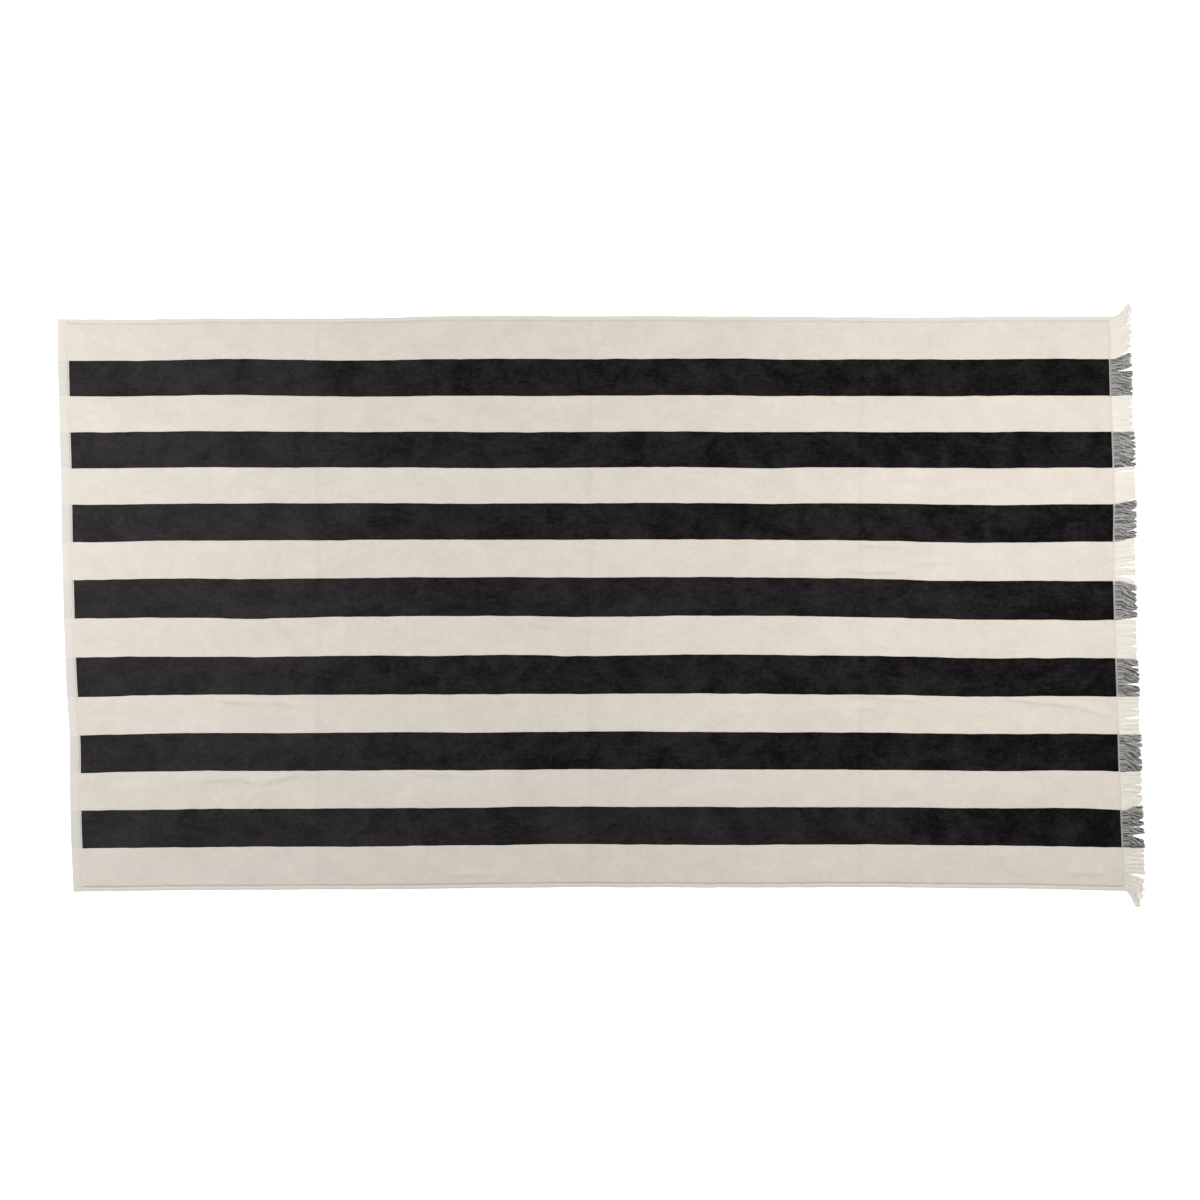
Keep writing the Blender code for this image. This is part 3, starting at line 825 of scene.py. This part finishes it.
def tassel_yarns(root, pitch, angle, fan, free, lag, reach, random):
    """Paths, radii, shades and held weights of one tassel's yarns: side by side, then twisted.

    fan is how much wider the tassel is at its tip, free how flat and untwisted it lies, and lag how
    late it bends.
    """
    order = np.arange(YARNS)
    neat = 1 - 0.40 * free
    share = np.linspace(0, 1, YARN_POINTS)[None]
    total = YARN_TUCK + HEADING + reach + random.uniform(*YARN_TRIM, YARNS) * neat
    gone = share * total[:, None] - YARN_TUCK
    past = np.maximum(gone - HEADING * (1 - free), 0)
    late = np.clip(past / reach, 0, 1.1)
    bend = smooth(gone / (HEADING * (1.6 - free + 1.9 * lag))) * (0.75 + 0.4 * late)
    sway = random.uniform(*TASSEL_SWAY) * neat
    curl = random.uniform(*TASSEL_CURL) * max(1 - free, 0.45)
    wave = random.uniform(*TASSEL_WAVE) * max(1 - free, 0.35)
    rhythm = random.uniform(0, math.tau)
    heading = (angle * bend + sway * late + curl * late ** 2
               + wave * late * np.sin(past / TASSEL_WAVELENGTH + rhythm))
    step = np.diff(gone, axis=1, prepend=gone[:, :1])
    middle_x = root[0] - YARN_TUCK + np.cumsum(step * np.cos(heading), axis=1)
    middle_y = root[1] + np.cumsum(step * np.sin(heading), axis=1)
    ring = np.sqrt((order + 0.5) / YARNS)
    begin = order * GOLDEN_ANGLE + random.uniform(0, math.tau)
    lane = (np.argsort(np.argsort(ring * np.cos(begin))) + 0.5) / YARNS - 0.5
    widening = 1 + (fan - 1) * changed(gone, FAN_OUT) + 0.03 * free * changed(gone, LOOSEN)
    lane_x = (lane * pitch + random.uniform(*LANE_VARIES, YARNS))[:, None] * widening
    half_wide = pitch * random.uniform(*TASSEL_HALF_WIDTH) * widening
    half_high = random.uniform(*TASSEL_HALF_HEIGHT)
    crown = half_high * free * (1 - (2 * lane) ** 2)[:, None] * changed(gone, CROWN_UP)
    lane_z = np.where(order % 2, YARN_LAYER, -YARN_LAYER)[:, None] + 1.2 * crown
    turning = begin[:, None] + math.tau * past / (YARN_TWIST * random.uniform(*TWIST_VARIES))
    gather = changed(gone, GATHER) * (1 - free)
    packed = ring[:, None] * (1 - 0.22 * late ** 3)
    aside = (1 - gather) * lane_x + gather * half_wide * packed * np.cos(turning)
    above = (1 - gather) * lane_z + gather * half_high * packed * np.sin(turning)
    for _ in range(2):
        phase = random.uniform(0, math.tau, (2, YARNS, 1))
        length = random.uniform(*YARN_WAVELENGTH, (2, YARNS, 1))
        loose = (YARN_STRAY[0] + YARN_STRAY[1] * late) * neat
        aside = aside + loose * np.sin(math.tau * past / length[0] + phase[0]) * (0.3 + 0.7 * late)
        above = above + 0.6 * loose * np.sin(math.tau * past / length[1] + phase[1]) * late
    x = middle_x - aside * np.sin(heading)
    y = middle_y + aside * np.cos(heading)
    rest = FLOOR + half_high * 1.1 + YARN_RADIUS
    droop = changed(gone, DROOP)
    z = np.maximum((1 - droop) * GROUND_MIDDLE + droop * rest + above, FLOOR + YARN_RADIUS * 0.9)
    thickness = random.uniform(*YARN_THICKNESS, YARNS)[:, None]
    radii = YARN_RADIUS * thickness * (1 - YARN_TAPER * share ** 6)
    shades = 0.6 * random.uniform(0, 1, YARNS) + 0.4 * random.uniform(0, 1)
    return np.stack([x, y, z], axis=-1), radii, shades, 1 - droop


def fringe_piece(stripe, index, materials):
    """All the yarns that run out of one stripe, in its tassels."""
    black = stripe.startswith("black")
    node = "fringe_" + stripe.replace("black", "grey")
    points = np.concatenate(stations(node, 0))
    end_row = stations("ground_cloth", 0)[-1]
    end_row = end_row[np.argsort(end_row[:, 1])]
    root_x = np.interp(points[:, 1], end_row[:, 1], end_row[:, 0])
    at_root = points[points[:, 0] - root_x < ROOT_REACH]
    near, far = at_root[:, 1].min(), at_root[:, 1].max()
    count = round((far - near) / TASSEL_PITCH)
    pitch = (far - near) / count
    random = np.random.default_rng(500 + index)
    near_corner, far_corner = end_row[0, 1], end_row[-1, 1]
    made = []
    for tassel in range(count):
        y = near + (tassel + 0.5) * pitch
        root = (float(np.interp(y, end_row[:, 1], end_row[:, 0])), y)
        from_far = (far_corner - y) / (far_corner - near_corner)
        angle, rate = combed(from_far)
        fan = 1 + rate * FRINGE_LENGTH / (far_corner - near_corner)
        fan = min(max(fan, FAN_RANGE[0]), FAN_RANGE[1])
        free = 0.0 if black else 1.0
        if from_far > TUFT_START or from_far < FAN_END:
            free = CORNER_FREE
        lag = float(from_far < FAN_END)
        reach = FRINGE_LENGTH - HEADING - (0 if black else CREAM_TRIM) - random.uniform(0, TRIM_SPREAD)
        reach += CORNER_EXTRA[0] * max(1 - from_far / FAN_END, 0)
        reach += CORNER_EXTRA[1] * max((from_far - TUFT_START) / (1 - TUFT_START), 0)
        made.append(tassel_yarns(root, pitch, angle, fan, free, lag, reach, random))
    paths, radii, shades, held = (np.concatenate(part) for part in zip(*made))
    rings, strand = tubes(paths, radii, YARN_SIDES, shades)
    piece = add_piece(f"tassels_{stripe}", rings, materials, node,
                      {"strand": strand}, held[:, :, None])
    if black:
        faces_a_yarn = (YARN_POINTS - 1) * YARN_SIDES + 2
        turn = (np.tile(np.arange(YARNS), count) * PLIES * GOLDEN_ANGLE / math.tau) % 1
        stray = random.uniform(0, 1, (2, len(turn)))
        turn = np.where(stray[0] < STRAY_SHARE, stray[1], turn)
        is_black = (turn < BLACK_SHARE).astype(np.int32)
        piece.data.polygons.foreach_set("material_index", np.repeat(is_black, faces_a_yarn))
    return piece


# -------------------------------------------------- the mat

velours = {
    "cream": velour("cream_velour", (0.66, 0.608, 0.537), (0.86, 0.797, 0.708),
                    sheen=0.10, specular=0.2, base=0.55, nap_and_light_share=0.25, mottle=0.40),
    "black": velour("black_velour", (0.0055, 0.0048, 0.0052), (0.0418, 0.0382, 0.0394),
                    sheen=0.02, specular=0.03, base=0.0, nap_and_light_share=0.8, mottle=0.52)}
terries = {
    "cream": loops("cream_terry", (0.50, 0.45, 0.385), (0.80, 0.745, 0.665), sheen=0.10),
    "black": loops("black_terry", (0.005, 0.0045, 0.005), (0.026, 0.0245, 0.025), sheen=0.03)}
ground = weave("ground_weave", (0.90, 0.845, 0.76), (0.47, 0.47, 0.455))
hemming = weave("hem_weave", (0.86, 0.807, 0.73), (0.782, 0.763, 0.702))
fringes = {
    "cream": [yarn("cream_yarn", (0.78, 0.735, 0.66), (1.0, 0.97, 0.905))],
    "black": [yarn("grey_yarn", (0.337, 0.332, 0.318), (0.622, 0.612, 0.584)),
              yarn("black_yarn", (0.045, 0.044, 0.044), (0.13, 0.128, 0.125))]}
thread = yarn("sewing_thread", (0.62, 0.575, 0.50), (0.82, 0.775, 0.69), twist=0.0012)

for index, stripe in enumerate(STRIPES):
    colour = "black" if stripe.startswith("black") else "cream"
    pile_piece("velour", stripe, velours[colour])
    pile_piece("terry", stripe, terries[colour])
    fringe_piece(stripe, index, fringes[colour])

cloth = ground_piece(ground)
for hem, run, fold_side in HEMS:
    low, high = long_edges(hem, run)
    seam = seam_line(hem + "_needle_thread", run)
    fold = low if fold_side == "low" else high
    inset = abs(float(seam[len(seam) // 2][1 - run] - fold[len(fold) // 2][1 - run]))
    hem_piece("turned_" + hem, hem, run, fold_side, inset, hemming,
                           black_rows if hem == "end_hem" else None)
    stitches(hem + "_top_stitches", hem + "_needle_thread", run,
                          HEM_HIGH - SEAM_GROOVE[hem] * NEEDLE_SUNK, 1, thread)
    stitches(hem + "_under_stitches", hem + "_bobbin_thread", run,
                          HEM_LOW + SEAM_GROOVE[hem] * BOBBIN_SUNK, -1, thread)
stitches("fringe_lock_stitches", "fringe_lock_thread", 1,
                      GROUND_HIGH + THREAD_RADIUS / 2, 1, thread)

length = edge_length(long_edges("ground_cloth")[0])


# -------------------------------------------------- floor, light and camera

def add_floor():
    bpy.ops.mesh.primitive_plane_add(size=FLOOR_WIDTH, location=(0, 0, FLOOR - FLOOR_DROP))
    floor = bpy.context.object
    floor.name = "floor"
    material = bpy.data.materials.new("floor_white")
    material.use_nodes = True
    shader = material.node_tree.nodes["Principled BSDF"]
    shader.inputs["Base Color"].default_value = (1.0, 1.0, 1.0, 1)
    shader.inputs["Roughness"].default_value = 0.9
    shader.inputs["Specular IOR Level"].default_value = 0.0
    shader.inputs["Emission Color"].default_value = (1, 1, 1, 1)
    shader.inputs["Emission Strength"].default_value = 0.6
    floor.data.materials.append(material)


def add_area(name, place, size, power, tint):
    """A soft square light that looks at the middle of the mat."""
    lamp = bpy.data.lights.new(name, "AREA")
    lamp.color = tint
    lamp.shape = "RECTANGLE"
    lamp.size, lamp.size_y = size
    lamp.energy = power
    lamp_object = bpy.data.objects.new(name, lamp)
    lamp_object.location = place
    bpy.context.scene.collection.objects.link(lamp_object)
    to_mat = Vector((0, 0, 0)) - lamp_object.location
    lamp_object.rotation_euler = to_mat.to_track_quat("-Z", "Y").to_euler()


def add_studio():
    world = bpy.data.worlds.new("studio")
    world.use_nodes = True
    background = world.node_tree.nodes["Background"]
    background.inputs["Color"].default_value = (1.0, 1.0, 1.0, 1)
    background.inputs["Strength"].default_value = SKY_STRENGTH
    bpy.context.scene.world = world
    add_area("left_softbox", (-1.5, 0.25, 1.2), size=(0.7, 0.7), power=16.8, tint=(1.0, 1.0, 1.02))
    add_area("right_softbox", (1.0, 0.25, 1.2), size=(0.7, 0.7), power=12.6, tint=(1.0, 0.99, 0.96))


def add_camera():
    low, high = CAD_BOX
    camera = bpy.data.cameras.new("camera")
    camera.sensor_width = SENSOR_WIDTH
    camera.lens = camera.sensor_width * CAMERA_HEIGHT / PICTURE_WIDTH
    camera.clip_end = 50
    camera_object = bpy.data.objects.new("camera", camera)
    camera_object.location = ((low[0] + high[0]) / 2 + CAMERA_OFFSET[0],
                              (low[1] + high[1]) / 2 + CAMERA_OFFSET[1], CAMERA_HEIGHT)
    bpy.context.scene.collection.objects.link(camera_object)
    bpy.context.scene.camera = camera_object


add_floor()
add_studio()
add_camera()
bpy.context.scene.view_settings.view_transform = "Standard"
